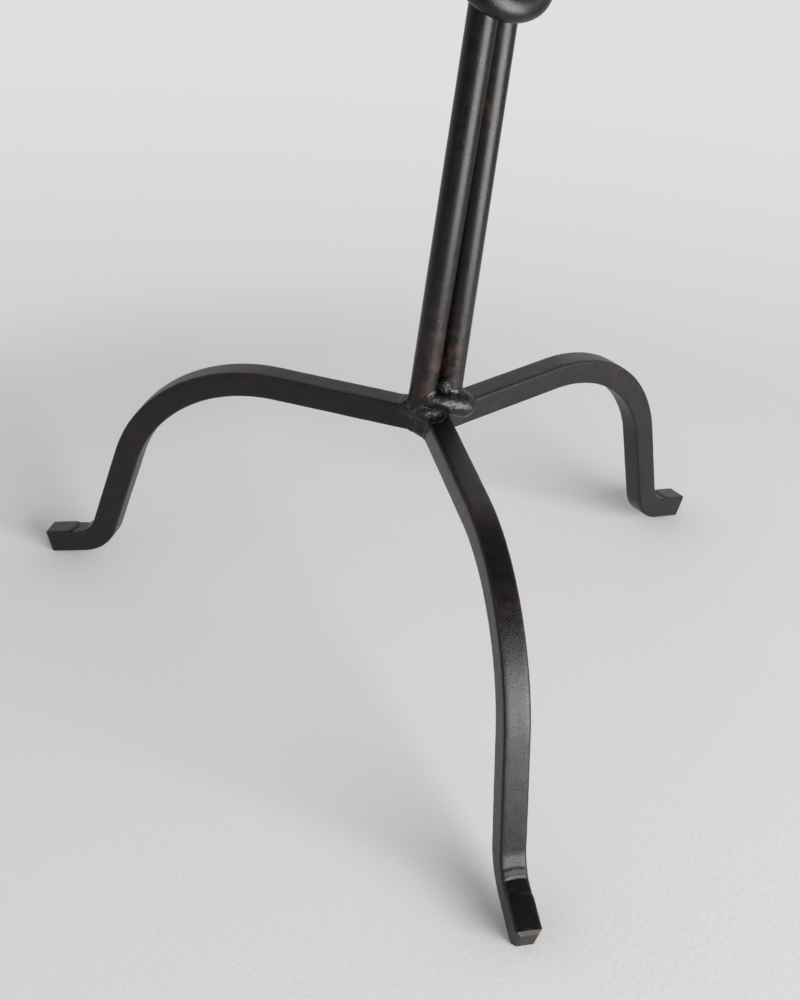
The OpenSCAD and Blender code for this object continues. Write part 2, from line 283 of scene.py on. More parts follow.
def reshape(piece, work=None, crease=35):
    """Runs work(bm) on the piece's mesh, closes it and turns its faces outwards."""
    bm = bmesh.new()
    bm.from_mesh(piece.data)
    if work:
        work(bm)
    bmesh.ops.remove_doubles(bm, verts=bm.verts, dist=1e-6)
    bmesh.ops.recalc_face_normals(bm, faces=bm.faces)
    bm.to_mesh(piece.data)
    bm.free()
    piece.data.shade_smooth()
    piece.data.set_sharp_from_angle(angle=math.radians(crease))
    piece.data.update()
    return piece


def cut(bm, point, normal):
    """Cuts away what lies on the normal's side of a plane, and caps the cut."""
    everything = bm.verts[:] + bm.edges[:] + bm.faces[:]
    made = bmesh.ops.bisect_plane(
        bm, geom=everything, dist=1e-7, plane_co=point, plane_no=normal, clear_outer=True)
    edges = [e for e in made["geom_cut"] if isinstance(e, bmesh.types.BMEdge)]
    if edges:
        bmesh.ops.triangle_fill(bm, use_beauty=True, use_dissolve=False, edges=edges)


FINISH_OF = {"black_paint": "satin_paint", "rubbed_paint": "satin_paint_rubbed",
    "bare_steel": "plain_steel"}


def finish_for(slot):
    """The finish that goes on a material slot."""
    return bpy.data.materials[FINISH_OF[slot]]


def finish_piece(piece, slot, *nodes):
    """Puts a finished piece in the place of the model's own nodes."""
    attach(piece, "root")
    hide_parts(*nodes)


def direction(angle):
    """The level direction at an angle from the X axis."""
    return Vector((math.cos(angle), math.sin(angle), 0))


# ---------------------------------------------------------------- settings


class StandLegSizes(bpy.types.PropertyGroup):
    """Sizes of the three legs."""

    bar_width: FloatProperty(name="Bar width", description="Width of the bar, across the leg",
        default=9.6 * MM, unit="LENGTH")
    bar_depth: FloatProperty(name="Bar depth", description="Depth of the bar, in the plane of its bends",
        default=10.4 * MM, unit="LENGTH")
    edge_radius: FloatProperty(name="Edge radius", description="Radius of the bar's softened edges",
        default=1.2 * MM, unit="LENGTH")
    arm_length: FloatProperty(name="Arm length", description="Length of the level arm",
        default=61.5 * MM, unit="LENGTH")
    shoulder_radius: FloatProperty(name="Shoulder radius", description="Radius of the shoulder bend",
        default=65 * MM, unit="LENGTH")
    shank_tilt: FloatProperty(name="Shank tilt", description="Lean of the shank away from upright",
        default=math.radians(16.5), unit="ROTATION", subtype="ANGLE")
    shank_length: FloatProperty(name="Shank length", description="Length of the straight shank",
        default=39.2 * MM, unit="LENGTH")
    heel_radius: FloatProperty(name="Heel radius", description="Radius of the heel bend",
        default=16.5 * MM, unit="LENGTH")
    foot_slope: FloatProperty(name="Foot slope", description="Slope of the foot below level",
        default=math.radians(17), unit="ROTATION", subtype="ANGLE")
    foot_length: FloatProperty(name="Foot length", description="Length of the straight foot",
        default=17 * MM, unit="LENGTH")
    toe_clip: FloatProperty(name="Toe clip", description="Size of the clipped corners of the toe",
        default=1.9 * MM, unit="LENGTH")
    toe_bevel: FloatProperty(name="Toe bevel", description="Size of the bevel along the toe's top edge",
        default=1.4 * MM, unit="LENGTH")
    forge_depth: FloatProperty(name="Forge depth", description="Depth of the unevenness of the faces",
        default=0.28 * MM, unit="LENGTH")
    directions: FloatVectorProperty(
        name="Directions", description="Directions of the front, left and right legs",
        default=[math.radians(a) for a in (-90, 150.5, 26)], size=3, unit="ROTATION", subtype="EULER")


class StandStemSizes(bpy.types.PropertyGroup):
    """Sizes of the rods and the knop."""

    rod_diameter: FloatProperty(name="Rod diameter", description="Diameter of the four rods",
        default=10.3 * MM, unit="LENGTH")
    rod_gap: FloatProperty(name="Rod gap", description="Gap between the two rods of a pair",
        default=0.3 * MM, unit="LENGTH")
    hub_direction: FloatProperty(name="Pair at the hub", description="Direction of the pair at the hub",
        default=math.radians(11), unit="ROTATION", subtype="ANGLE")
    lower_turn: FloatProperty(name="Lower turn", description="Turn of the lower pair on its way up",
        default=math.radians(26), unit="ROTATION", subtype="ANGLE")
    upper_turn: FloatProperty(name="Upper turn", description="Turn of the upper pair on its way up",
        default=math.radians(26), unit="ROTATION", subtype="ANGLE")
    knop_height: FloatProperty(name="Knop height", description="Height of the ring's centre",
        default=(HUB_TOP + 160.4) * MM, unit="LENGTH")
    knop_radius: FloatProperty(name="Knop radius", description="Radius of the ring, on its centre line",
        default=14.6 * MM, unit="LENGTH")
    knop_tilt: FloatProperty(name="Knop tilt", description="Tilt of the ring away from level",
        default=math.radians(41.5), unit="ROTATION", subtype="ANGLE")
    knop_slope: FloatProperty(name="Knop slope", description="Direction in which the ring slopes down",
        default=math.radians(-62), unit="ROTATION", subtype="ANGLE")
    unevenness: FloatProperty(name="Unevenness", description="Depth of the unevenness of the rods",
        default=0.1 * MM, unit="LENGTH")


class StandWeldSizes(bpy.types.PropertyGroup):
    """How the welds are laid."""

    voxel: FloatProperty(name="Detail", description="Size of the smallest detail in a weld",
        default=0.2 * MM, unit="LENGTH")
    blend: FloatProperty(name="Blend", description="How softly a weld runs into the bar beside it",
        default=2.2 * MM, unit="LENGTH")


class StandHeadSizes(bpy.types.PropertyGroup):
    """Sizes of the boss, the drip pan and the candle cup."""

    boss_diameter: FloatProperty(name="Boss diameter", description="Diameter of the boss under the pan",
        default=27 * MM, unit="LENGTH")
    pan_floor: FloatProperty(name="Pan floor", description="Radius of the pan's flat floor",
        default=42 * MM, unit="LENGTH")
    pan_curve: FloatProperty(name="Pan curve", description="Radius of the curve from floor to wall",
        default=10 * MM, unit="LENGTH")
    pan_turn: FloatProperty(name="Pan turn", description="Angle of the wall at the rim",
        default=math.radians(56), unit="ROTATION", subtype="ANGLE")
    pan_sheet: FloatProperty(name="Pan sheet", description="Thickness of the pan",
        default=2.4 * MM, unit="LENGTH")
    pan_rim: FloatProperty(name="Pan rim", description="Diameter of the rolled rim",
        default=4.4 * MM, unit="LENGTH")
    cup_bore: FloatProperty(name="Cup bore", description="Radius of the bore that holds the candle",
        default=11.25 * MM, unit="LENGTH")
    cup_wall: FloatProperty(name="Cup wall", description="Thickness of the cup's wall",
        default=2.2 * MM, unit="LENGTH")
    hammer_depth: FloatProperty(name="Hammer depth", description="Depth of the hammer marks in the pan",
        default=0.35 * MM, unit="LENGTH")


class StandFinish(bpy.types.PropertyGroup):
    """Colours of the finishes."""

    paint: FloatVectorProperty(name="Paint", description="Colour of the black paint",
        default=(0.0022, 0.0021, 0.0022), size=3, min=0, max=1, subtype="COLOR")
    oxide: FloatVectorProperty(name="Oxide", description="Colour of the oxide under the paint",
        default=(0.045, 0.016, 0.009), size=3, min=0, max=1, subtype="COLOR")
    wear: FloatProperty(name="Wear", description="How much of the paint is rubbed through",
        default=0.5, min=0, max=1, subtype="FACTOR")
    roughness: FloatProperty(name="Roughness", description="Roughness of the satin paint",
        default=0.33, min=0, max=1, subtype="FACTOR")


class StandStudio(bpy.types.PropertyGroup):
    """The floor, the light and the camera."""

    floor_colour: FloatVectorProperty(name="Floor colour", description="Colour of the floor",
        default=(0.8, 0.795, 0.78), size=3, min=0, max=1, subtype="COLOR")
    wall_colour: FloatVectorProperty(name="Wall colour", description="Colour of the background",
        default=(0.74, 0.74, 0.735), size=3, min=0, max=1, subtype="COLOR")
    floor_radius: FloatProperty(name="Floor radius", description="Radius of the round floor",
        default=0.36, unit="LENGTH")
    window_strength: FloatProperty(name="Window strength", description="Brightness of the window light",
        default=11.5, min=0)
    window_direction: FloatProperty(name="Window direction", description="Where the window light stands",
        default=math.radians(-57), unit="ROTATION", subtype="ANGLE")
    window_height: FloatProperty(name="Window height", description="Angle of the window light above level",
        default=math.radians(-2), unit="ROTATION", subtype="ANGLE")
    room_strength: FloatProperty(name="Room strength", description="Brightness of the room's own light",
        default=1.0, min=0)


# ---------------------------------------------------------------- finishes


def painted(name, colour, oxide, rough, wear, gloss_grain, rub_places=()):
    """Black paint on steel: fine grain, slow changes of gloss, oxide where it is rubbed through, and dark
    edges that are partly chipped paint and partly painted shade.
    """
    material = bpy.data.materials.new(name)
    material.use_nodes = True
    tree = material.node_tree
    tree.nodes.clear()
    m = Maker(tree)
    place = m.add("ShaderNodeTexCoord", None, None, "Object")
    grain = m.noise(place, 1400, 3, 0.6)
    mottle = m.noise(place, 210, 4, 0.62)
    broad = m.noise(place, 38, 3, 0.55)
    speck = m.noise(place, 2600, 2, 0.5)
    edge = m.add("ShaderNodeAttribute", {"attribute_name": "edge"}, None, "Fac")
    patch = broad * 0.55 + mottle * 0.45 + edge * 0.10 * wear
    # Each rub place is a spot, its radius and how much it adds. Lengths are in millimetres.
    for (x, y, z), radius, amount in rub_places:
        away = m.vector("DISTANCE", place, (x * MM, y * MM, z * MM), out="Value")
        patch = patch + (1 - away.ease(0.0, radius * MM)) * amount
    worn = patch.ease(0.60 - 0.05 * wear, 0.70) * (0.35 + 0.65 * speck.ease(0.42, 0.56))
    # Dark edges: partly real chipped paint, partly painted shade where the rounded edges fall dark.
    chipped_and_edge_shade = (edge - (grain - 0.5) * 0.5).ease(0.45, 0.7) * mottle.ease(0.32, 0.48)
    black = m.mix(mottle.ease(0.35, 0.7), (*colour, 1), (*[c * 1.7 for c in colour], 1))
    thin = broad.ease(0.40, 0.66) * mottle.ease(0.38, 0.62) * wear
    black = m.mix(thin, black, (*[c * 0.32 for c in oxide], 1))
    rust = m.mix(grain.ease(0.35, 0.65), (*[c * 0.45 for c in oxide], 1), (*oxide, 1))
    shade = m.mix(chipped_and_edge_shade * 0.7, m.mix(worn, black, rust), (*[c * 0.12 for c in oxide], 1))
    dull = rough + (mottle - 0.5) * 0.16 + (grain - 0.5) * 0.10 + worn * 0.16 + chipped_and_edge_shade * 0.2
    pits = m.cells(place, 900).ease(0.0, 0.22) * speck.ease(0.3, 0.5)
    height = grain * gloss_grain + mottle * 0.8 + pits * 0.4 + worn * -0.25 + chipped_and_edge_shade * (speck * 2.2)
    bump = m.add("ShaderNodeBump", None, {"Strength": 0.35, "Distance": 0.00022, "Height": height})
    shader = m.add("ShaderNodeBsdfPrincipled", None, {
        "Base Color": shade, "Roughness": dull, "Normal": bump, "IOR": 1.41})
    m.add("ShaderNodeOutputMaterial", None, {"Surface": shader})
    return material


class STAND_OT_finishes(bpy.types.Operator):
    """Make the paint and steel finishes"""

    bl_idname = "stand.finishes"
    bl_label = "Finishes"

    def execute(self, context):
        look = context.scene.stand_finish
        paint, oxide = tuple(look.paint), tuple(look.oxide)
        toes = []
        for turn in context.scene.stand_leg.directions:
            spot = direction(turn) * TOE_RUB_REACH
            toes.append(((spot.x, spot.y, TOE_RUB_HEIGHT), 4.5, 0.3))
        painted("satin_paint", paint, oxide, look.roughness, look.wear, 0.5, toes)
        painted("satin_paint_rubbed", paint, oxide, look.roughness - 0.03, look.wear * 0.5, 0.35, [
            ((5.0, -3.0, 132.0), 26.0, 0.12),
            ((8.0, -3.0, 150.0), 20.0, 0.09),
            ((-4.0, -5.0, 116.0), 9.0, 0.15),
            ((7.0, -16.0, 262.0), 9.0, 0.2)])
        painted("gloss_paint_on_weld", paint, oxide, 0.31, 0.15, 0.25)
        painted("rough_paint_on_weld", paint, oxide, 0.36, 0.7, 0.8, [((-7.0, -5.0, 110.0), 14.0, 0.12)])
        steel = bpy.data.materials.new("plain_steel")
        steel.use_nodes = True
        steel.node_tree.nodes.clear()
        m = Maker(steel.node_tree)
        place = m.add("ShaderNodeTexCoord", None, None, "Object")
        lines = m.noise(m.vector("MULTIPLY", place, (2000, 2000, 90)), 1.0, 3, 0.6)
        shader = m.add("ShaderNodeBsdfPrincipled", None, {
            "Base Color": m.mix(lines, (0.33, 0.33, 0.34, 1), (0.5, 0.5, 0.5, 1)),
            "Roughness": 0.3 + lines * 0.2, "Metallic": 1.0})
        m.add("ShaderNodeOutputMaterial", None, {"Surface": shader})
        return {"FINISHED"}


# ---------------------------------------------------------------- legs


def bent_bar_tree():
    """A bar of rounded section along arm, shoulder, shank, heel and foot, in millimetres inside."""
    tree, m, put = new_tree("bent_bar", [
        ("Arm Length", "Float", 60.0), ("Shoulder Radius", "Float", 60.0), ("Shank Tilt", "Float", 0.3),
        ("Shank Length", "Float", 40.0), ("Heel Radius", "Float", 11.0), ("Foot Slope", "Float", 0.4),
        ("Foot Length", "Float", 24.0), ("Bar Width", "Float", 9.0), ("Bar Depth", "Float", 10.0),
        ("Edge Radius", "Float", 1.0), ("Overrun", "Float", 9.0), ("Step", "Float", 0.5),
        ("Forge Depth", "Float", 0.25), ("Crease Depth", "Float", 0.3), ("Seed", "Float", 1.0),
        ("Direction", "Float", 0.0), ("Height", "Float", 100.0), ("Material", "Material", None)])
    tilt, slope = put["Shank Tilt"], put["Foot Slope"]
    shoulder_turn = math.pi / 2 - tilt
    heel_turn = math.pi / 2 - tilt - slope
    shoulder_leg = put["Shoulder Radius"] * (shoulder_turn * 0.5).math("TANGENT")
    heel_leg = put["Heel Radius"] * (heel_turn * 0.5).math("TANGENT")
    x1 = put["Arm Length"] + shoulder_leg
    run = shoulder_leg + put["Shank Length"] + heel_leg
    x2 = x1 + run * tilt.math("SINE")
    z2 = -(run * tilt.math("COSINE"))
    last = heel_leg + put["Foot Length"]
    x3 = x2 + last * slope.math("COSINE")
    z3 = z2 - last * slope.math("SINE")
    index = m.add("GeometryNodeInputIndex")
    at = [1 - abs(index - k).low(1.0) for k in range(4)]
    x = -put["Overrun"] * at[0] + x1 * at[1] + x2 * at[2] + x3 * at[3]
    z = z2 * at[2] + z3 * at[3]
    line = m.add("GeometryNodeMeshLine", None, {"Count": 4})
    line = m.add("GeometryNodeSetPosition", None, {"Geometry": line, "Position": m.xyz(x, 0.0, z)})
    line = m.add("GeometryNodeMeshToCurve", None, {"Mesh": line})
    radius = put["Shoulder Radius"] * at[1] + put["Heel Radius"] * at[2]
    line = m.add("GeometryNodeFilletCurve", {"mode": "POLY"}, {
        "Curve": line, "Count": 64, "Radius": radius})
    line = m.add("GeometryNodeResampleCurve", {"mode": "LENGTH"}, {"Curve": line, "Length": put["Step"]})
    line = m.add("GeometryNodeSetCurveNormal", {"mode": "Z_UP"}, {"Curve": line})
    line, along = m.capture(line, m.add("GeometryNodeSplineParameter").out("Length"))
    section = m.add("GeometryNodeCurvePrimitiveQuadrilateral", {"mode": "RECTANGLE"}, {
        "Width": put["Bar Width"], "Height": put["Bar Depth"]})
    section = m.add("GeometryNodeFilletCurve", {"mode": "POLY"}, {
        "Curve": section, "Count": 6, "Radius": put["Edge Radius"]})
    section = m.add("GeometryNodeResampleCurve", {"mode": "COUNT"}, {"Curve": section, "Count": 88})
    section, spot = m.capture(section, m.add("GeometryNodeInputPosition"), "VECTOR")
    bar = m.add("GeometryNodeCurveToMesh", None, {
        "Curve": line, "Profile Curve": section, "Fill Caps": True})
    across, deep, _ = m.split(spot)
    half_w, half_d = put["Bar Width"] * 0.5, put["Bar Depth"] * 0.5
    near_side = (abs(across) - (half_w - EDGE_BAND)).high(0.0)
    near_face = (abs(deep) - (half_d - EDGE_BAND)).high(0.0)
    edge = (near_side.low(near_face) / EDGE_BAND).high(0.0)
    # Unevenness of the faces, and wavy edges.
    where = m.add("GeometryNodeInputPosition")
    shift = m.vector("ADD", where, m.xyz(put["Seed"] * 31.7, put["Seed"] * 17.3, put["Seed"] * 5.1))
    slow = m.noise(shift, 0.055, 1.5, 0.5)
    quick = m.noise(shift, 0.22, 2.0, 0.5)
    nicks = m.noise(shift, 0.75, 2.0, 0.6)
    sink = slow * 0.55 + quick * 0.32 + edge * (nicks * 0.6)
    # Folds that the heel's inner face takes when it is bent hot.
    shoulder_end = put["Overrun"] + put["Arm Length"] + put["Shoulder Radius"] * shoulder_turn
    heel_start = shoulder_end + put["Shank Length"]
    heel_arc = put["Heel Radius"] * heel_turn
    side = across / half_w
    inner = (deep * -1.0).ease(half_d - 2.0, half_d - 0.4)
    folds = None
    for share, width, bow, amount in HEEL_FOLDS:
        centre = heel_start + heel_arc * share + side * side * bow + (quick - 0.5) * 1.4
        fold = (1 - (abs(along - centre) / width).ease(0.0, 1.0)) * amount
        folds = fold if folds is None else folds.high(fold)
    pinch = 1 - (abs(along - (heel_start + heel_arc * 0.92)) / HEEL_PINCH_REACH).ease(0.0, 1.0)
    sink = sink * put["Forge Depth"] + folds * inner * put["Crease Depth"] + pinch * inner * HEEL_PINCH
    bar = m.push_in(bar, sink)
    bar = m.store(bar, "edge", edge)
    bar = m.add("GeometryNodeSetShadeSmooth", None, {"Geometry": bar})
    bar = m.add("GeometryNodeTransform", None, {
        "Geometry": bar, "Rotation": m.xyz(0.0, 0.0, put["Direction"]),
        "Translation": m.xyz(0.0, 0.0, put["Height"])})
    return close_tree(tree, m, m.shrink(bar), put["Material"])


class STAND_OT_legs(bpy.types.Operator):
    """Bend the three legs, mitre them at the hub and dress their toes"""

    bl_idname = "stand.legs"
    bl_label = "Legs"

    def execute(self, context):
        leg = context.scene.stand_leg
        tree = bent_bar_tree()
        hub_z = HUB_TOP - leg.bar_depth / MM / 2
        turns = list(leg.directions)
        names = ("leg_front", "leg_left", "leg_right")
        for number, (name, turn) in enumerate(zip(names, turns)):
            piece = grow(name + "_bar", tree, {
                "Arm Length": leg.arm_length / MM, "Shoulder Radius": leg.shoulder_radius / MM,
                "Shank Tilt": leg.shank_tilt, "Shank Length": leg.shank_length / MM,
                "Heel Radius": leg.heel_radius / MM, "Foot Slope": leg.foot_slope,
                "Foot Length": leg.foot_length / MM, "Bar Width": leg.bar_width / MM,
                "Bar Depth": leg.bar_depth / MM, "Edge Radius": leg.edge_radius / MM,
                "Forge Depth": leg.forge_depth / MM, "Seed": 1.0 + number, "Step": 0.45,
                "Direction": turn, "Height": hub_z,
                "Material": finish_for("black_paint")})
            others = [t for t in turns if t != turn]
            self.dress(piece, leg, turn, others)
            finish_piece(piece, "black_paint", name)
        return {"FINISHED"}

    def dress(self, piece, leg, turn, others):
        """Mitres the hub end, then clips, bevels and grounds the toe."""
        out = direction(turn)
        across = Vector((-out.y, out.x, 0))
        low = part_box(piece.name.replace("_bar", ""))[0].z
        slope = leg.foot_slope
        ahead = out * math.cos(slope) - Vector((0, 0, math.sin(slope)))
        up = out * math.sin(slope) + Vector((0, 0, math.cos(slope)))
        spot = self.toe_centre(leg, out)

        def work(bm):
            for other in others:
                away = direction(other)
                cut(bm, (0, 0, 0), (away - out).normalized())
            for side in (-1, 1):
                corner = spot + across * side * (leg.bar_width / 2 - leg.toe_clip)
                cut(bm, corner, (ahead + across * side).normalized())
            cut(bm, spot + up * (leg.bar_depth / 2 - leg.toe_bevel), (ahead + up).normalized())
            cut(bm, (0, 0, low), (0, 0, -1))

        reshape(piece, work)

    def toe_centre(self, leg, out):
        """The middle of the toe's end, on the bar's centre line."""
        slope = leg.foot_slope
        shoulder = leg.shoulder_radius
        tilt = leg.shank_tilt
        reach = leg.arm_length + shoulder * math.cos(tilt) + leg.shank_length * math.sin(tilt)
        reach += leg.heel_radius * (math.cos(tilt) - math.sin(slope)) + leg.foot_length * math.cos(slope)
        drop = shoulder * (1 - math.sin(tilt)) + leg.shank_length * math.cos(tilt)
        drop += leg.heel_radius * (math.cos(slope) - math.sin(tilt)) + leg.foot_length * math.sin(slope)
        return out * reach + Vector((0, 0, HUB_TOP * MM - leg.bar_depth / 2 - drop))


# ---------------------------------------------------------------- rods and knop


def round_bar_tree():
    """A round bar along a line of points, open or closed. Lengths are in millimetres inside."""
    tree, m, put = new_tree("round_bar", [
        ("Radius", "Float", 5.0), ("Step", "Float", 1.0), ("Sides", "Int", 72),
        ("Unevenness", "Float", 0.1), ("Seed", "Float", 1.0), ("Material", "Material", None)])
    line = m.add("GeometryNodeMeshToCurve", None, {"Mesh": put["Geometry"]})
    line = m.add("GeometryNodeResampleCurve", {"mode": "LENGTH"}, {"Curve": line, "Length": put["Step"]})
    line = m.add("GeometryNodeSetCurveNormal", {"mode": "MINIMUM_TWIST"}, {"Curve": line})
    section = m.add("GeometryNodeCurvePrimitiveCircle", {"mode": "RADIUS"}, {
        "Resolution": put["Sides"], "Radius": put["Radius"]})
    bar = m.add("GeometryNodeCurveToMesh", None, {
        "Curve": line, "Profile Curve": section, "Fill Caps": True})
    where = m.add("GeometryNodeInputPosition")
    shift = m.vector("ADD", where, m.xyz(put["Seed"] * 23.1, put["Seed"] * 11.9, put["Seed"] * 7.7))
    stretched = m.vector("MULTIPLY", shift, (1.0, 1.0, 0.45))
    sink = m.noise(stretched, 0.12, 2.0, 0.5) * 0.7 + m.noise(shift, 0.5, 2.0, 0.6) * 0.3
    bar = m.push_in(bar, sink * put["Unevenness"])
    bar = m.add("GeometryNodeSetShadeSmooth", None, {"Geometry": bar})
    return close_tree(tree, m, m.shrink(bar), put["Material"])


def line_mesh(name, points, closed=False):
    """A line of points in millimetres, as a mesh of edges."""
    mesh = bpy.data.meshes.new(name)
    edges = [(i, i + 1) for i in range(len(points) - 1)]
    if closed:
        edges.append((len(points) - 1, 0))
    mesh.from_pydata([tuple(p) for p in points], edges, [])
    return mesh


def knop_frame(stem):
    """The ring's centre in millimetres, and three directions.

    They run down its slope, along its level line and out of its plane.
    """
    centre = Vector((HEAD_AXIS.x, HEAD_AXIS.y, stem.knop_height / MM))
    level = direction(stem.knop_slope)
    tilt = stem.knop_tilt
    down = level * math.cos(tilt) - Vector((0, 0, math.sin(tilt)))
    up = level * math.sin(tilt) + Vector((0, 0, math.cos(tilt)))
    return centre, down, up.cross(down), up


def pair_spot(stem, centre, turn, side):
    """The centre of one rod of a pair, in millimetres."""
    half = (stem.rod_diameter + stem.rod_gap) / MM / 2
    return Vector(centre) + direction(turn) * half * side


def rod_ends(stem, upper, side):
    """The two ends of a rod's centre line, in millimetres."""
    middle, _, _, _ = knop_frame(stem)
    middle_turn = stem.hub_direction + stem.lower_turn
    joint = pair_spot(stem, middle, middle_turn, side)
    if upper:
        top = Vector((HEAD_AXIS.x, HEAD_AXIS.y, BOSS_Z))
        return joint, pair_spot(stem, top, middle_turn + stem.upper_turn, side)
    return pair_spot(stem, (0, 0, HUB_TOP), stem.hub_direction, side), joint


class STAND_OT_rods(bpy.types.Operator):
    """Make the four rods of the stem"""

    bl_idname = "stand.rods"
    bl_label = "Rods"

    def execute(self, context):
        stem = context.scene.stand_stem
        tree = round_bar_tree()
        centre, _, _, up = knop_frame(stem)
        for number, (upper, side, name) in enumerate((
                (False, -1, "rod_lower_left"), (False, 1, "rod_lower_right"),
                (True, -1, "rod_upper_left"), (True, 1, "rod_upper_right"))):
            a, b = rod_ends(stem, upper, side)
            run = (b - a).normalized()
            slot = "black_paint" if upper else "rubbed_paint"
            piece = grow(name + "_bar", tree, {
                "Radius": stem.rod_diameter / MM / 2, "Step": 1.0, "Sides": 72,
                "Unevenness": stem.unevenness / MM, "Seed": 1.0 + number,
                "Material": finish_for(slot)},
                line_mesh(name, [a - run * ROD_OVERRUN, b + run * ROD_OVERRUN]))

            def work(bm):
                cut(bm, centre * MM, -up if upper else up)
                if upper:
                    cut(bm, (0, 0, BOSS_Z * MM), (0, 0, 1))
                else:
                    cut(bm, (0, 0, HUB_TOP * MM), (0, 0, -1))

            reshape(piece, work)
            finish_piece(piece, slot, name)
        return {"FINISHED"}


class STAND_OT_knop(bpy.types.Operator):
    """Bend the ring that makes the knop"""

    bl_idname = "stand.knop"
    bl_label = "Knop"

    def execute(self, context):
        stem = context.scene.stand_stem
        centre, down, level, up = knop_frame(stem)
        radius = stem.knop_radius / MM
        count = 180
        points = []
        for i in range(count):
            angle = 2 * math.pi * i / count
            points.append(centre + (down * math.cos(angle) + level * math.sin(angle)) * radius)
        piece = grow("knop_ring", bpy.data.node_groups["round_bar"], {
            "Radius": stem.rod_diameter / MM / 2, "Step": 0.6, "Sides": 84, "Unevenness": 0.12,
            "Seed": 8.0, "Material": finish_for("rubbed_paint")}, line_mesh("knop", points, True))
        reshape(piece)
        finish_piece(piece, "rubbed_paint", "knop")
        return {"FINISHED"}


# ---------------------------------------------------------------- welds


class Hub:
    """Distances, in millimetres, from a point in space to the bars and rods that the welds join."""

    def __init__(self, m, stem, leg):
        self.m = m
        self.stem = stem
        self.leg = leg
        self.here = m.add("GeometryNodeInputPosition")
        self.x, self.y, self.z = m.split(self.here)

    def ball(self, centre, radius):
        moved = self.m.vector("SUBTRACT", self.here, tuple(centre))
        return self.m.vector("LENGTH", moved, out="Value") - radius

    def rod(self, a, b, radius):
        """An endless round rod through two points."""
        run = (Vector(b) - Vector(a)).normalized()
        moved = self.m.vector("SUBTRACT", self.here, tuple(a))
        side = self.m.vector("CROSS_PRODUCT", moved, tuple(run))
        return self.m.vector("LENGTH", side, out="Value") - radius

    def arm(self, turn):
        """The level arm of a leg, with rounded edges."""
        c, s = math.cos(turn), math.sin(turn)
        soft = self.leg.edge_radius / MM
        half_w, half_d = self.leg.bar_width / MM / 2, self.leg.bar_depth / MM / 2
        ahead = self.x * c + self.y * s
        side = abs(self.y * c - self.x * s) - (half_w - soft)
        high = abs(self.z - (HUB_TOP - half_d)) - (half_d - soft)
        back = -ahead
        outer = self.m.xyz(side.high(0.0), high.high(0.0), back.high(0.0))
        within = side.high(high).high(back).low(0.0)
        return self.m.vector("LENGTH", outer, out="Value") + within - soft

    def ring(self, radius, thick):
        """The tilted ring of the knop."""
        centre, down, level, up = knop_frame(self.stem)
        moved = self.m.vector("SUBTRACT", self.here, tuple(centre))
        a, b, c = [
            self.m.vector("DOT_PRODUCT", moved, tuple(way), out="Value") for way in (down, level, up)]
        flat = (a * a + b * b).math("SQRT") - radius
        return (flat * flat + c * c).math("SQRT") - thick


def weld_tree(name, stem, leg, lumps, bars):
    """A weld: lumps of metal run together, laid into the corner between the bars, and rippled."""
    tree, m, put = new_tree(name, [
        ("Low", "Vector", (0.0, 0.0, 0.0)), ("High", "Vector", (1.0, 1.0, 1.0)), ("Voxel", "Float", 0.2),
        ("Blend", "Float", 2.0), ("Fillet", "Float", 0.0), ("Sink", "Float", 0.06), ("Reach", "Float", 1.6),
        ("Grain", "Float", 0.1), ("Grain Size", "Float", 1.2), ("Material", "Material", None)])
    hub = Hub(m, stem, leg)
    bead = None
    for centre, radius in lumps:
        lump = hub.ball(centre, radius)
        bead = lump if bead is None else bead.blend_low(lump, LUMP_BLEND)
    steel = corner = None
    for bar in bars(hub):
        steel = bar if steel is None else steel.low(bar)
        corner = bar if corner is None else corner.blend_low(bar, put["Fillet"])
    ruffle = m.noise(hub.here, 1.0, 2.0, 0.55)
    grained = m.noise(m.vector("SCALE", hub.here, scale=1.0 / put["Grain Size"]), 1.0, 3.0, 0.6)
    bead = bead - (grained - 0.5) * put["Grain"] - (ruffle - 0.5) * (put["Grain"] * 0.3)
    skin = bead.blend_low(corner - (grained - 0.5) * put["Grain"] * 0.5, put["Blend"]) + put["Sink"]
    solid = skin.high(-steel - 0.5).high(bead - put["Reach"])
    density = (0.5 - solid * 0.5).high(0.0).low(1.0)
    size = m.vector("SUBTRACT", put["High"], put["Low"])
    nx, ny, nz = m.split(m.vector("SCALE", size, scale=1.0 / put["Voxel"]))
    cube = m.add("GeometryNodeVolumeCube", None, {
        "Density": density, "Background": 0.0, "Min": put["Low"], "Max": put["High"],
        "Resolution X": nx, "Resolution Y": ny, "Resolution Z": nz})
    skinned = m.add("GeometryNodeVolumeToMesh", None, {"Volume": cube, "Threshold": 0.5})
    skinned = m.add("GeometryNodeSetShadeSmooth", None, {"Geometry": skinned})
    return close_tree(tree, m, m.shrink(skinned), put["Material"])


def room_round(lumps, margin):
    """The low and high corners of a box round all lumps, with a margin."""
    low = [min(centre[i] for centre, _ in lumps) - margin for i in range(3)]
    high = [max(centre[i] for centre, _ in lumps) + margin for i in range(3)]
    return low, high


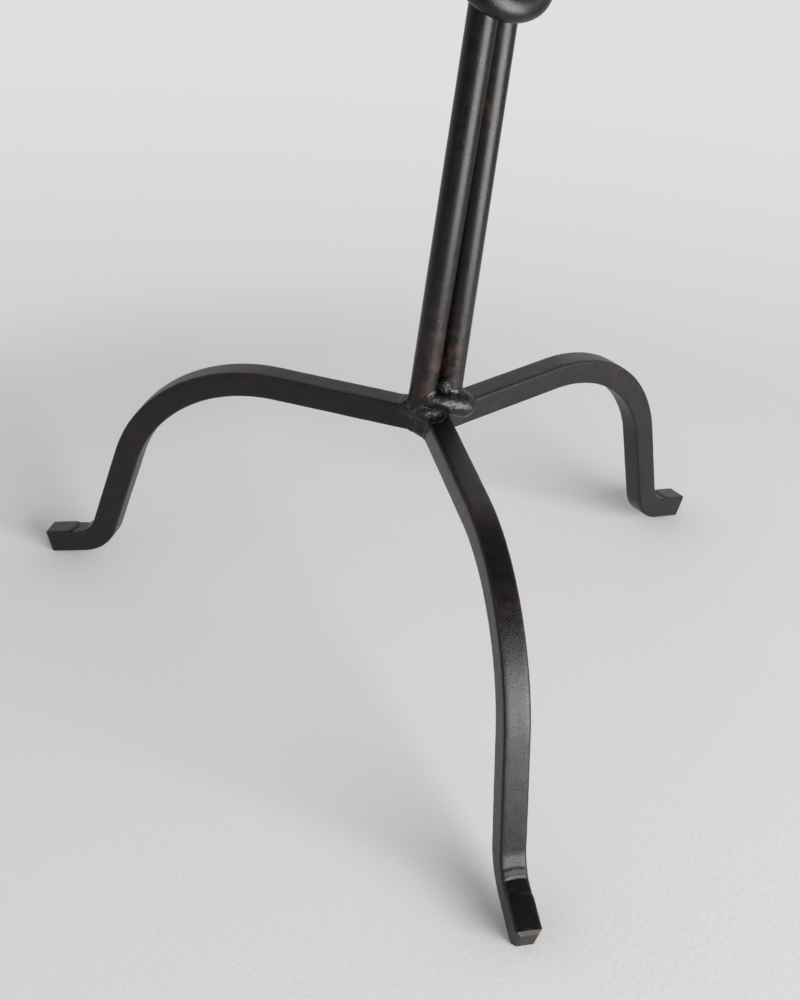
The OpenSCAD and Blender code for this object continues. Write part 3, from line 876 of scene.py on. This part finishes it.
class STAND_OT_welds(bpy.types.Operator):
    """Lay the welds at the hub, the knop and the boss"""

    bl_idname = "stand.welds"
    bl_label = "Welds"

    def execute(self, context):
        stem, leg = context.scene.stand_stem, context.scene.stand_leg
        weld = context.scene.stand_weld
        front, left, right = leg.directions
        rod_r = stem.rod_diameter / MM / 2
        rods = [rod_ends(stem, False, side) for side in (-1, 1)]
        tall = [rod_ends(stem, True, side) for side in (-1, 1)]

        def hub_steel(hub):
            above = HUB_TOP - hub.z
            bars = [hub.rod(a, b, rod_r).high(above) for a, b in rods]
            return bars + [hub.arm(turn) for turn in (front, left, right)]

        def lay(name, finish, node, lumps, bars, low, high, **more):
            values = {"Low": low, "High": high, "Voxel": weld.voxel / MM, "Blend": weld.blend / MM,
                "Material": bpy.data.materials[finish]}
            values.update({key.replace("_", " "): value for key, value in more.items()})
            piece = grow(name, weld_tree(name, stem, leg, lumps, bars), values)
            reshape(piece, crease=60)
            finish_piece(piece, "weld_paint", node)

        t = HUB_TOP
        lay("weld_hub_right", "gloss_paint_on_weld", "hub_bead_right", [
            ((10.4, -2.8, t + 1.6), 4.9),
            ((7.2, -4.2, t + 2.6), 3.6),
            ((4.4, -5.2, t + 3.8), 3.0),
            ((1.6, -5.6, t + 4.8), 2.7),
            ((-1.2, -5.4, t + 5.3), 2.3),
            ((-3.6, -5.4, t + 5.4), 1.6)],
            hub_steel, (-8, -12, t - 9), (19, 8, t + 13), Grain=0.6, Grain_Size=2.6, Blend=3.6)
        lay("weld_rod_foot_right", "gloss_paint_on_weld", "rod_foot_weld_right", [
            ((10.7, 3.0, t + 0.5), 1.5),
            ((8.5, 5.9, t + 0.5), 1.5),
            ((5.1, 7.0, t + 0.5), 1.5),
            ((2.1, 6.2, t + 0.5), 1.5)],
            hub_steel, (-3, -2, t - 5), (15, 13, t + 8), Grain=0.4, Grain_Size=1.2, Fillet=6.0, Reach=2.8)
        lay("weld_rod_foot_left", "rough_paint_on_weld", "rod_foot_weld_left", [
            ((-2.0, -6.2, t + 0.8), 2.0),
            ((-5.6, -6.2, t + 0.4), 2.4),
            ((-9.4, -4.4, t + 0.8), 2.0),
            ((-11.4, -0.2, t + 1.2), 1.6),
            ((-9.4, 4.2, t + 1.0), 1.4),
            ((-4.6, 5.6, t + 0.8), 1.4)],
            hub_steel, (-20, -15, t - 8), (4, 12, t + 12), Grain=0.7, Grain_Size=0.9, Fillet=9.0, Reach=3.4)
        lay("weld_hub_left", "rough_paint_on_weld", "hub_bead_left", [
            ((-6.0, -4.0, t - 3.0), 2.6),
            ((-5.8, -3.6, t - 7.6), 2.0)],
            hub_steel, (-17, -13, t - 14), (1, 6, t + 3), Grain=0.8, Grain_Size=1.0, Fillet=8.0, Reach=2.8)
        lay("weld_hub_back", "gloss_paint_on_weld", "hub_bead_back", [
            ((0.2, 6.6, t - 2.0), 3.8),
            ((0.2, 6.4, t - 6.0), 3.2)],
            hub_steel, (-8, -1, t - 12), (8, 14, t + 5), Grain=0.5, Grain_Size=1.5)
        lay("weld_hub_under", "gloss_paint_on_weld", "hub_bead_under", [
            ((0.0, 0.0, t - 10.2), 2.8),
            ((-1.6, -1.6, t - 10.0), 2.2)],
            hub_steel, (-7, -7, t - 15), (7, 7, t - 5), Grain=0.4, Grain_Size=1.4)
        lay("weld_spatter", "gloss_paint_on_weld", "spatter_nugget", [
            ((2.3, -4.4, t + 12.2), 1.5),
            ((2.6, -4.7, t + 9.6), 1.35),
            ((1.3, -4.5, t + 10.9), 1.0),
            ((3.6, -4.0, t + 11.0), 0.9)],
            hub_steel, (-2, -8, t + 5), (7, -0.5, t + 16), Grain=1.1, Grain_Size=0.7, Blend=0.5,
            Voxel=0.12)
        self.knop_seams(stem, leg, lay, rods, tall, rod_r)
        self.boss_seams(stem, leg, lay, tall, rod_r)
        return {"FINISHED"}

    def knop_seams(self, stem, leg, lay, rods, tall, rod_r):
        """Thin beads where the rods run into the ring, under it and on top of it."""
        frame_of_ring = knop_frame(stem)
        radius = stem.knop_radius / MM
        turn = stem.hub_direction + stem.lower_turn
        for name, node, sense, pair in (
                ("weld_knop_lower", "knop_weld_lower", -1, rods),
                ("weld_knop_upper", "knop_weld_upper", 1, tall)):

            def steel(hub):
                bars = [hub.rod(a, b, rod_r) for a, b in pair]
                return bars + [hub.ring(radius, rod_r)]

            lumps = []
            for side in (-1, 1):
                a, b = pair[0 if side < 0 else 1]
                run = (b - a).normalized()
                outward = direction(turn) * side
                sideways = Vector((-outward.y, outward.x, 0))
                middle = pair_spot(stem, frame_of_ring[0], turn, side)
                for step in range(-4, 5):
                    angle = math.radians(step * 17)
                    ray = outward * math.cos(angle) + sideways * math.sin(angle)
                    spot = middle + ray * (rod_r + 0.3)
                    # The lump slides along the rod until it has left the ring.
                    shift = self.way_out_of_ring(spot, run * sense, frame_of_ring, radius, rod_r)
                    lumps.append((tuple(spot + run * sense * shift), 0.85))
            lay(name, "gloss_paint_on_weld", node, lumps, steel, *room_round(lumps, 3),
                Grain=0.25, Grain_Size=1.0, Blend=1.4, Reach=1.2)

    def way_out_of_ring(self, spot, run, frame_of_ring, radius, thick):
        """How far it is from a spot, along run, to where the ring's surface is left."""
        centre, down, level, up = frame_of_ring
        travel = 0.0
        while travel < 25.0:
            moved = spot + run * travel - centre
            flat = math.hypot(moved.dot(down), moved.dot(level)) - radius
            if math.hypot(flat, moved.dot(up)) > thick + 0.25 and travel > 0.5:
                return travel
            travel += 0.1
        return travel

    def boss_seams(self, stem, leg, lay, tall, rod_r):
        """Fillets under the boss, round the tops of the rods."""
        turn = stem.hub_direction + stem.lower_turn + stem.upper_turn
        lumps = []
        for side in (-1, 1):
            middle = pair_spot(stem, (HEAD_AXIS.x, HEAD_AXIS.y, BOSS_Z), turn, side)
            outward = turn + (0 if side > 0 else math.pi)
            for step in range(-4, 5):
                spot = middle + direction(outward + math.radians(step * 25)) * (rod_r + 0.2)
                lumps.append(((spot.x, spot.y, BOSS_Z - 0.5), 1.5))

        def steel(hub):
            return [hub.rod(a, b, rod_r) for a, b in tall] + [(BOSS_Z + 0.02) - hub.z]

        lay("weld_boss", "gloss_paint_on_weld", "boss_weld", lumps, steel, *room_round(lumps, 4),
            Grain=0.3, Grain_Size=1.4, Blend=1.2)


# ---------------------------------------------------------------- head


def lathe(name, outline, segments=192):
    """Turns an outline round the head's axis.

    The outline holds (radius, height) points in millimetres, and closes on the axis or on itself.
    """
    mesh = bpy.data.meshes.new(name)
    verts, rings, faces = [], [], []
    for radius, height in outline:
        if radius < 1e-6:
            rings.append([len(verts)])
            verts.append((HEAD_AXIS.x * MM, HEAD_AXIS.y * MM, height * MM))
            continue
        first = len(verts)
        for i in range(segments):
            angle = 2 * math.pi * i / segments
            verts.append(((HEAD_AXIS.x + radius * math.cos(angle)) * MM,
                (HEAD_AXIS.y + radius * math.sin(angle)) * MM, height * MM))
        rings.append(list(range(first, first + segments)))
    pairs = list(zip(rings, rings[1:] + rings[:1]))
    for a, b in pairs:
        if len(a) == 1 and len(b) == 1:
            continue
        for i in range(segments):
            j = (i + 1) % segments
            if len(a) == 1:
                faces.append((a[0], b[j], b[i]))
            elif len(b) == 1:
                faces.append((a[i], a[j], b[0]))
            else:
                faces.append((a[i], a[j], b[j], b[i]))
    mesh.from_pydata(verts, [], faces)
    return mesh


def arc(cx, cy, radius, start, end, steps):
    """Points on an arc, angles in degrees."""
    out = []
    for i in range(steps + 1):
        angle = math.radians(start + (end - start) * i / steps)
        out.append((cx + radius * math.cos(angle), cy + radius * math.sin(angle)))
    return out


def runs(points, step):
    """Adds points along the straight runs, so that no step is longer than the one given."""
    out = []
    for (x0, y0), (x1, y1) in zip(points, points[1:]):
        count = max(1, int(math.hypot(x1 - x0, y1 - y0) / step))
        for i in range(count):
            out.append((x0 + (x1 - x0) * i / count, y0 + (y1 - y0) * i / count))
    return out + [points[-1]]


def hammered_tree():
    """Hammer marks all over a sheet, and small unevenness. Lengths are in metres."""
    tree, m, put = new_tree("hammered", [
        ("Mark Size", "Float", 6.0), ("Mark Depth", "Float", 0.3), ("Unevenness", "Float", 0.1),
        ("Seed", "Float", 1.0), ("Material", "Material", None)])
    where = m.add("GeometryNodeInputPosition")
    inside = m.vector("SCALE", where, scale=1000.0)
    shift = m.vector("ADD", inside, m.xyz(put["Seed"] * 13.0, put["Seed"] * 29.0, 0.0))
    scaled = m.vector("SCALE", shift, scale=1.0 / put["Mark Size"])
    flat = m.vector("MULTIPLY", scaled, (1.0, 1.0, 0.25))
    mark = m.cells(flat, 1.0, "SMOOTH_F1")
    dish = 1 - mark.ease(0.0, 0.75)
    waver = m.noise(inside, 0.09, 2.0, 0.5)
    up = m.split(m.add("GeometryNodeInputNormal"))[2]
    sink = dish * put["Mark Depth"] * up + waver * put["Unevenness"]
    sheet = m.add("GeometryNodeSetPosition", None, {
        "Geometry": put["Geometry"],
        "Offset": m.vector("SCALE", m.add("GeometryNodeInputNormal"), scale=-sink * MM)})
    sheet = m.add("GeometryNodeSetShadeSmooth", None, {"Geometry": sheet})
    return close_tree(tree, m, sheet, put["Material"])


class STAND_OT_head(bpy.types.Operator):
    """Make the boss, the drip pan and the candle cup"""

    bl_idname = "stand.head"
    bl_label = "Head"

    def execute(self, context):
        head = context.scene.stand_head
        tree = hammered_tree()
        paint = finish_for("black_paint")

        def turn_up(name, node, outline, depth, rough, size):
            mesh = lathe(name, outline)
            bm = bmesh.new()
            bm.from_mesh(mesh)
            bmesh.ops.recalc_face_normals(bm, faces=bm.faces)
            bm.to_mesh(mesh)
            bm.free()
            piece = grow(name, tree, {"Mark Size": size, "Mark Depth": depth, "Unevenness": rough,
                "Material": paint}, mesh)
            reshape(piece, crease=50)
            finish_piece(piece, "black_paint", node)

        self.boss(head, turn_up)
        self.pan(head, turn_up)
        self.cup(head, turn_up)
        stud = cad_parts["head_stud"]
        stud.data.materials.clear()
        stud.data.materials.append(finish_for("bare_steel"))
        return {"FINISHED"}

    def boss(self, head, turn_up):
        """The turned cap on the rods, with a narrower seat for the pan."""
        r = head.boss_diameter / MM / 2
        low, high, mid, seat = BOSS_Z, PAN_Z, (BOSS_Z + PAN_Z) / 2, 11.0
        outline = [(0, low), (r - 0.8, low)] + arc(r - 0.8, low + 0.8, 0.8, -90, 0, 6)
        outline += arc(r - 0.8, mid - 0.2, 0.8, 0, 40, 5)
        outline += [(seat + 0.5, high - 0.35), (seat, high), (0, high)]
        turn_up("boss_turned", "head_boss", runs(outline, 0.7), 0.0, 0.12, 6.0)

    def pan(self, head, turn_up):
        """A flat floor, a curved wall and a rolled rim."""
        floor, curve = head.pan_floor / MM, head.pan_curve / MM
        sheet, rim = head.pan_sheet / MM, head.pan_rim / MM
        turn = math.degrees(head.pan_turn)
        z = PAN_Z
        cy = z + sheet + curve
        rim_x = floor + (curve + sheet / 2) * math.sin(head.pan_turn)
        rim_y = cy - (curve + sheet / 2) * math.cos(head.pan_turn)
        outer = arc(floor, cy, curve + sheet, -90, -90 + turn - 4, 14)
        inner = arc(floor, cy, curve, -90 + turn - 4, -90, 14)
        roll = arc(rim_x, rim_y, rim / 2, -90 + turn - 120, -90 + turn + 150, 26)
        outline = [(STUD_HOLE, z), (floor, z)] + outer + roll + inner
        outline += [(STUD_HOLE, z + sheet), (STUD_HOLE, z)]
        outline = runs(outline, 0.8)[:-1]
        turn_up("pan_hammered", "drip_pan", outline, head.hammer_depth / MM, 0.1, 5.5)

    def cup(self, head, turn_up):
        """A straight bore with a rounded lip and a spread foot."""
        bore, wall = head.cup_bore / MM, head.cup_wall / MM
        r = bore + wall
        z, top = CUP_Z, CUP_TOP
        lip = 1.8
        outline = [(0, z + 7), (bore - 0.6, z + 7)] + arc(bore - 0.6, z + 7.6, 0.6, -90, 0, 4)
        outline += [(bore, top - 0.5)] + arc(bore + 0.5, top - 0.5, 0.5, 180, 90, 4)
        outline += arc(r, top - lip, lip, 90, -70, 14)
        # A turned groove in the wall.
        outline += [(r, top - 2 * lip - 0.9), (r, z + 12.0), (r - 0.35, z + 11.6), (r - 0.35, z + 11.0),
            (r, z + 10.6), (r, z + 3.2)]
        # The spread foot, and the hole for the stud under the bore.
        outline += arc(r + 3, z + 3, 3, 180, 262, 10) + [(r + 3, z + 0.02), (r + 2.6, z)]
        outline += [(STUD_HOLE, z), (STUD_HOLE, z + 5.0), (0, z + 5.0)]
        turn_up("cup_turned", "candle_cup", runs(outline, 0.8), 0.0, 0.1, 6.0)


# ---------------------------------------------------------------- stage


class STAND_OT_studio(bpy.types.Operator):
    """Set up the floor, the soft light and the camera"""

    bl_idname = "stand.studio"
    bl_label = "Studio"

    def execute(self, context):
        scene = context.scene
        studio = scene.stand_studio
        scene.view_settings.view_transform = "Standard"
        self.floor(studio)
        self.room(scene, studio)
        self.window(studio)
        self.camera(scene)
        return {"FINISHED"}

    def floor(self, studio):
        """A round pale floor."""
        mesh = bpy.data.meshes.new("floor")
        bm = bmesh.new()
        bmesh.ops.create_circle(bm, cap_ends=True, segments=128, radius=studio.floor_radius)
        bm.to_mesh(mesh)
        bm.free()
        floor = bpy.data.objects.new("floor", mesh)
        bpy.context.scene.collection.objects.link(floor)
        material = bpy.data.materials.new("pale_floor")
        material.use_nodes = True
        material.node_tree.nodes.clear()
        m = Maker(material.node_tree)
        place = m.add("ShaderNodeTexCoord", None, None, "Object")
        tone = m.noise(place, 9, 4, 0.6)
        speck = m.noise(place, 420, 3, 0.6)
        colour = tuple(studio.floor_colour)
        shade = m.mix(tone, (*[c * 0.975 for c in colour], 1), (*colour, 1))
        bump = m.add("ShaderNodeBump", None, {"Strength": 0.15, "Distance": 0.0006, "Height": speck})
        shader = m.add("ShaderNodeBsdfPrincipled", None, {
            "Base Color": shade, "Roughness": 0.75, "Normal": bump, "Specular IOR Level": 0.2})
        # The camera sees the floor fade into the background before its edge.
        reach = studio.floor_radius
        far = m.vector("LENGTH", place, out="Value").ease(0.6 * reach, 0.98 * reach)
        seen = m.add("ShaderNodeLightPath", None, None, "Is Camera Ray")
        clear = m.add("ShaderNodeBsdfTransparent")
        both = m.add("ShaderNodeMixShader", None, {0: far * seen, 1: shader, 2: clear})
        m.add("ShaderNodeOutputMaterial", None, {"Surface": both})
        mesh.materials.append(material)

    def room(self, scene, studio):
        """Pale walls, a dim ceiling and a dim room below level. The camera sees the wall's colour, darkened
        by painted shade where the rays look down past level.
        """
        world = bpy.data.worlds.new("room")
        scene.world = world
        world.use_nodes = True
        world.node_tree.nodes.clear()
        m = Maker(world.node_tree)
        ray = m.add("ShaderNodeTexCoord", None, None, "Generated")
        _, beyond, height = m.split(m.vector("NORMALIZE", ray))
        wall = tuple(studio.wall_colour)
        # The stops run from straight down, over level at a half, to straight up.
        glow = m.add("ShaderNodeValToRGB", {"stops": [
            (0.30, (0.12, 0.12, 0.12, 1)), (0.49, (0.16, 0.16, 0.16, 1)), (0.52, (0.95, 0.95, 0.94, 1)),
            (0.74, (0.92, 0.92, 0.92, 1)), (0.83, (0.52, 0.52, 0.52, 1)), (0.90, (0.14, 0.14, 0.14, 1))]},
            {0: 0.5 + height * 0.5})
        # Behind the stand the ground goes on, pale, past the floor's edge.
        ground = beyond.ease(-0.1, 0.5) * (1 - height.ease(-0.1, 0.0))
        glow = m.mix(ground * 0.8, glow, (0.62, 0.62, 0.61, 1))
        # Painted shade on the background that the camera sees: darker where the rays look down.
        shaded = m.mix(height.ease(-0.62, -0.28), (*[c * 0.76 for c in wall], 1), (*wall, 1))
        shaded = m.mix(height.ease(-0.95, -0.70), (*[c * 0.9 for c in wall], 1), shaded)
        seen = m.mix(m.add("ShaderNodeLightPath", None, None, "Is Camera Ray"), glow, shaded)
        shader = m.add("ShaderNodeBackground", None, {"Color": seen, "Strength": studio.room_strength})
        m.add("ShaderNodeOutputWorld", None, {"Surface": shader})

    def window(self, studio):
        """One large soft window light."""
        rise = studio.window_height
        ray = direction(studio.window_direction) * math.cos(rise) + Vector((0, 0, math.sin(rise)))
        light = bpy.data.lights.new("window", "AREA")
        light.shape = "RECTANGLE"
        light.size, light.size_y = WINDOW_SIZE
        light.energy = studio.window_strength * math.pi * light.size * light.size_y
        lamp = bpy.data.objects.new("window", light)
        bpy.context.scene.collection.objects.link(lamp)
        lamp.visible_camera = False
        turn = ray.to_track_quat("Z", "Y").to_matrix().to_4x4()
        lamp.matrix_world = Matrix.Translation(Vector(WINDOW_AIM) + ray * WINDOW_DISTANCE) @ turn

    def camera(self, scene):
        """Stands where the photograph was taken from."""
        ahead = Vector(CAMERA_AHEAD).normalized()
        level = ahead.cross(Vector((0, 0, 1))).normalized()
        upright = level.cross(ahead)
        right = level * math.cos(CAMERA_ROLL) + upright * math.sin(CAMERA_ROLL)
        up = upright * math.cos(CAMERA_ROLL) - level * math.sin(CAMERA_ROLL)
        data = bpy.data.cameras.new("camera")
        data.sensor_fit = "VERTICAL"
        data.sensor_height = SENSOR
        data.lens = FOCAL_PIXELS * SENSOR / PICTURE_HEIGHT
        data.clip_start, data.clip_end = 0.02, 30.0
        camera = bpy.data.objects.new("camera", data)
        scene.collection.objects.link(camera)
        turn = Matrix((right, up, -ahead)).transposed().to_4x4()
        camera.matrix_world = Matrix.Translation(Vector(CAMERA_SPOT)) @ turn
        scene.camera = camera


# ---------------------------------------------------------------- panel


STEPS = ("finishes", "legs", "rods", "knop", "welds", "head", "studio")
GROUPS = (("stand_finish", StandFinish), ("stand_leg", StandLegSizes), ("stand_stem", StandStemSizes),
    ("stand_weld", StandWeldSizes), ("stand_head", StandHeadSizes), ("stand_studio", StandStudio))


class STAND_PT_panel(bpy.types.Panel):
    """Lists the stand's settings and steps"""

    bl_idname = "STAND_PT_panel"
    bl_label = "Candle stand"
    bl_space_type = "VIEW_3D"
    bl_region_type = "UI"
    bl_category = "Candle stand"

    def draw(self, context):
        for step in STEPS:
            self.layout.operator("stand." + step)
        for name, group in GROUPS:
            box = self.layout.box()
            box.label(text=group.__doc__)
            for setting in group.__annotations__:
                box.prop(getattr(context.scene, name), setting)


CLASSES = tuple(group for _, group in GROUPS) + (
    STAND_OT_finishes, STAND_OT_legs, STAND_OT_rods, STAND_OT_knop, STAND_OT_welds, STAND_OT_head,
    STAND_OT_studio, STAND_PT_panel)


def register():
    for each in CLASSES:
        bpy.utils.register_class(each)
    for name, group in GROUPS:
        setattr(bpy.types.Scene, name, PointerProperty(type=group))


def unregister():
    for name, _ in GROUPS:
        delattr(bpy.types.Scene, name)
    for each in reversed(CLASSES):
        bpy.utils.unregister_class(each)


def main():
    register()
    for step in STEPS:
        getattr(bpy.ops.stand, step)()


if __name__ == "__main__":
    main()
